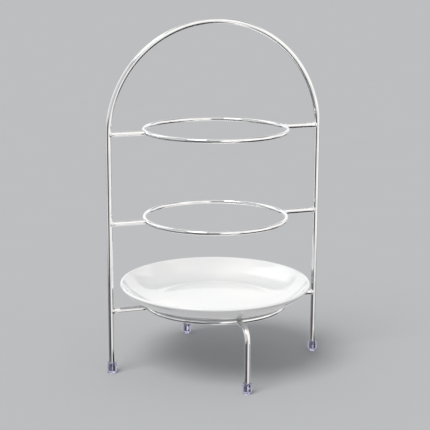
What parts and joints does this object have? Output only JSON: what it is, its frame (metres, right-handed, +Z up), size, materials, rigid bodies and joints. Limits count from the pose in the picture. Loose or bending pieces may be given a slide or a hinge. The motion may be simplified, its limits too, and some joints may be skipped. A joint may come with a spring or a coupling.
{
  "type": "tiered cake stand",
  "caption": "Chromed rod cake stand with an arched handle, stacked wire rings for plates, bent legs with clear foot caps, and a white plate on the bottom ring.",
  "frame": {"origin": "on the ground, in the middle of the four feet", "axes": "+Z up; +X from the left upright to the right upright, in the plane of the arch; -Y towards the front leg"},
  "size_m": [0.2482, 0.2212, 0.3805],
  "materials": {
    "chrome_rod": "bright chrome plate on bent and welded steel rod",
    "chrome_wire": "bright chrome plate on steel wire rings",
    "clear_plastic": "clear moulded plastic with a slight violet tint",
    "glazed_porcelain": "white, smooth and glossy"
  },
  "bodies": {
    "stand": {"arch_frame": "chrome_rod", "bottom_ring": "chrome_wire", "bottom_rod_left": "chrome_rod", "bottom_rod_right": "chrome_rod", "middle_ring": "chrome_wire", "middle_rod_left": "chrome_rod", "middle_rod_right": "chrome_rod", "top_ring": "chrome_wire", "top_rod_left": "chrome_rod", "top_rod_right": "chrome_rod", "front_leg": "chrome_rod", "back_leg": "chrome_rod", "foot_cap_left": "clear_plastic", "foot_cap_right": "clear_plastic", "foot_cap_front": "clear_plastic", "foot_cap_back": "clear_plastic"},
    "plate": {"serving_plate": "glazed_porcelain"}
  },
  "joints": [
    {"name": "plate_lift_out", "type": "slide", "parent": "stand", "child": "plate", "axis": [0, -0.9397, 0.342], "range_m": [0, 0.2]}
  ]
}
